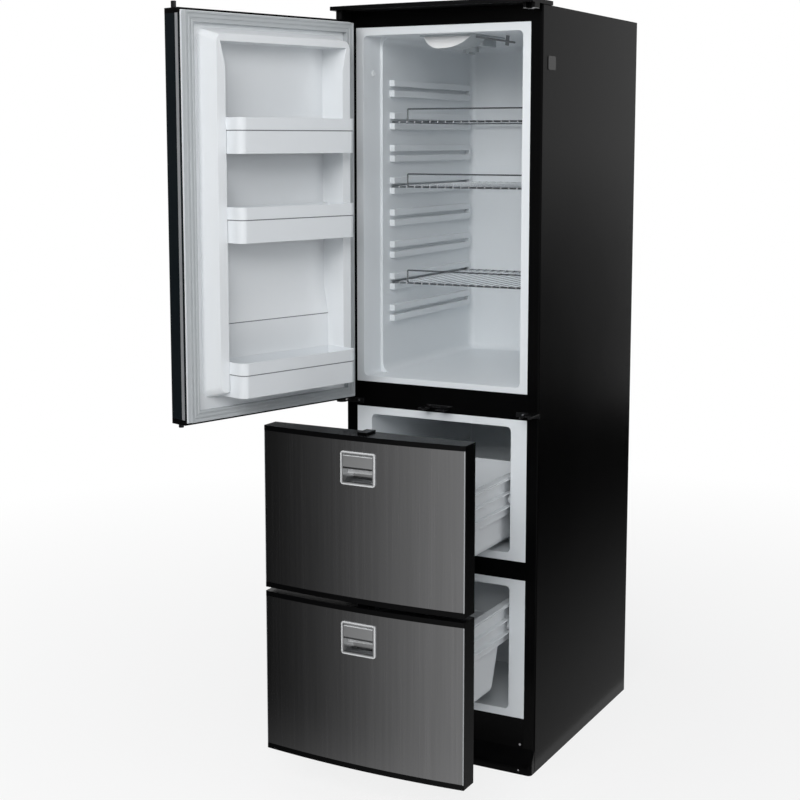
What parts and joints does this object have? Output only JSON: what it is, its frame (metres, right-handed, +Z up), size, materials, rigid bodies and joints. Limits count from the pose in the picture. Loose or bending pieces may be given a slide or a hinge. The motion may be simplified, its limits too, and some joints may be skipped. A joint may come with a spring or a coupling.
{
  "type": "drawer refrigerator",
  "caption": "Tall refrigerator with a hinged upper door on binned inner panel, wire shelves inside, and pull-out freezer drawers with latch handles below.",
  "frame": {"origin": "middle of the casing's footprint, on the floor", "axes": "+Z up, -Y out of the front, +X to the right seen from the front"},
  "size_m": [0.5706, 0.9989, 1.558],
  "materials": {
    "casing": "satin",
    "hood": "satin",
    "bracket": "satin",
    "liner": "satin",
    "foam": "matte",
    "wire": "gloss",
    "lamp_body": "satin",
    "lens": "frosted",
    "dark_plastic": "satin",
    "steel_skin": "brushed",
    "panel": "satin",
    "seal": "matte",
    "tub": "satin",
    "rail": "gloss",
    "latch_frame": "gloss",
    "latch_metal": "satin",
    "machine": "gloss",
    "coil": "satin",
    "fan": "matte"
  },
  "bodies": {
    "cabinet": {"casing_left": "casing", "casing_right": "casing", "casing_top": "casing", "casing_back": "casing", "base_tray": "casing", "mullion": "casing", "drawer_rail": "casing", "top_hood": "hood", "lower_hinge": "bracket", "lower_catch": "bracket", "drawer_keepers": "bracket", "fridge_liner": "liner", "upper_liner": "liner", "lower_liner": "liner", "cabinet_foam": "foam", "shelf_top": "wire", "shelf_middle": "wire", "shelf_bottom": "wire", "lamp_housing": "lamp_body", "lamp_lens": "lens", "sensor_tube": "dark_plastic", "compressor": "machine", "condenser": "coil", "cabinet_runners": "rail"},
    "door": {"door_profiles": "dark_plastic", "door_top_cap": "dark_plastic", "door_bottom_cap": "dark_plastic", "door_skin": "steel_skin", "door_core": "foam", "door_liner": "liner", "door_gasket": "seal", "door_bin_top": "tub", "door_bin_middle": "tub", "door_bin_bottom": "tub", "door_latch_bezel": "latch_frame"},
    "door_flap": {"door_latch_flap": "latch_metal"},
    "door_upper_bolt": {"door_top_pin": "latch_metal"},
    "door_lower_bolt": {"door_bottom_pin": "latch_metal"},
    "dial": {"thermostat_dial": "lamp_body"},
    "fan": {"condenser_fan": "fan"},
    "upper_drawer": {"upper_front_frame": "dark_plastic", "upper_front_skin": "steel_skin", "upper_inner_panel": "panel", "upper_gasket": "seal", "upper_basket": "tub", "upper_rails": "rail", "upper_latch_bezel": "latch_frame"},
    "upper_flap": {"upper_latch_flap": "latch_metal"},
    "upper_bolt": {"upper_latch_bolt": "dark_plastic"},
    "upper_roller_pair": {"upper_rollers": "tub"},
    "lower_drawer": {"lower_front_frame": "dark_plastic", "lower_front_skin": "steel_skin", "lower_inner_panel": "panel", "lower_gasket": "seal", "lower_basket": "tub", "lower_rails": "rail", "lower_latch_bezel": "latch_frame"},
    "lower_flap": {"lower_latch_flap": "latch_metal"},
    "lower_bolt": {"lower_latch_bolt": "dark_plastic"},
    "lower_roller_pair": {"lower_rollers": "tub"}
  },
  "joints": [
    {"name": "door_hinge", "type": "hinge", "parent": "cabinet", "child": "door", "pos_m": [-0.211, -0.308, 0.755], "axis": [0, 0, -1], "range_deg": [-106, 14]},
    {"name": "door_flap_pull", "type": "hinge", "parent": "door", "child": "door_flap", "pos_m": [-0.33271, -0.64853, 1.163], "axis": [0.2036, 0.9791, 0], "range_deg": [0, 40], "stiffness_Nm_per_rad": 0.12, "springref_deg": -8.59},
    {"name": "door_upper_bolt_slide", "type": "slide", "parent": "door", "child": "door_upper_bolt", "axis": [0, 0, -1], "range_m": [0, 0.0135]},
    {"name": "door_lower_bolt_slide", "type": "slide", "parent": "door", "child": "door_lower_bolt", "axis": [0, 0, 1], "range_m": [0, 0.008]},
    {"name": "upper_slide", "type": "slide", "parent": "cabinet", "child": "upper_drawer", "axis": [0, -1, 0], "range_m": [-0.274, 0.1]},
    {"name": "upper_flap_pull", "type": "hinge", "parent": "upper_drawer", "child": "upper_flap", "pos_m": [0, -0.6077, 0.701], "axis": [-1, 0, 0], "range_deg": [0, 40], "stiffness_Nm_per_rad": 0.12, "springref_deg": -8.59},
    {"name": "upper_bolt_slide", "type": "slide", "parent": "upper_drawer", "child": "upper_bolt", "axis": [0, 0, -1], "range_m": [0, 0.005]},
    {"name": "upper_roller_turn", "type": "hinge", "parent": "cabinet", "child": "upper_roller_pair", "pos_m": [0, -0.246, 0.566], "axis": [1, 0, 0], "continuous": true},
    {"name": "lower_slide", "type": "slide", "parent": "cabinet", "child": "lower_drawer", "axis": [0, -1, 0], "range_m": [-0.274, 0.1]},
    {"name": "lower_flap_pull", "type": "hinge", "parent": "lower_drawer", "child": "lower_flap", "pos_m": [0, -0.6077, 0.371], "axis": [-1, 0, 0], "range_deg": [0, 40], "stiffness_Nm_per_rad": 0.12, "springref_deg": -8.59},
    {"name": "lower_bolt_slide", "type": "slide", "parent": "lower_drawer", "child": "lower_bolt", "axis": [0, 0, -1], "range_m": [0, 0.005]},
    {"name": "lower_roller_turn", "type": "hinge", "parent": "cabinet", "child": "lower_roller_pair", "pos_m": [0, -0.246, 0.301], "axis": [1, 0, 0], "continuous": true},
    {"name": "dial_turn", "type": "hinge", "parent": "cabinet", "child": "dial", "pos_m": [-0.008, -0.115, 1.48], "axis": [0, 0, -1], "range_deg": [0, 270]},
    {"name": "fan_spin", "type": "hinge", "parent": "cabinet", "child": "fan", "pos_m": [0.108, 0.182, 0.108], "axis": [0, 1, 0], "continuous": true}
  ],
  "couplings": [
    {"joint": "door_upper_bolt_slide", "follows": "door_flap_pull", "m_per_rad": 0.019194},
    {"joint": "door_lower_bolt_slide", "follows": "door_flap_pull", "m_per_rad": 0.011316},
    {"joint": "upper_bolt_slide", "follows": "upper_flap_pull", "m_per_rad": 0.007019},
    {"joint": "upper_roller_turn", "follows": "upper_slide", "rad_per_m": 78.74},
    {"joint": "lower_bolt_slide", "follows": "lower_flap_pull", "m_per_rad": 0.007019},
    {"joint": "lower_roller_turn", "follows": "lower_slide", "rad_per_m": 78.74}
  ]
}
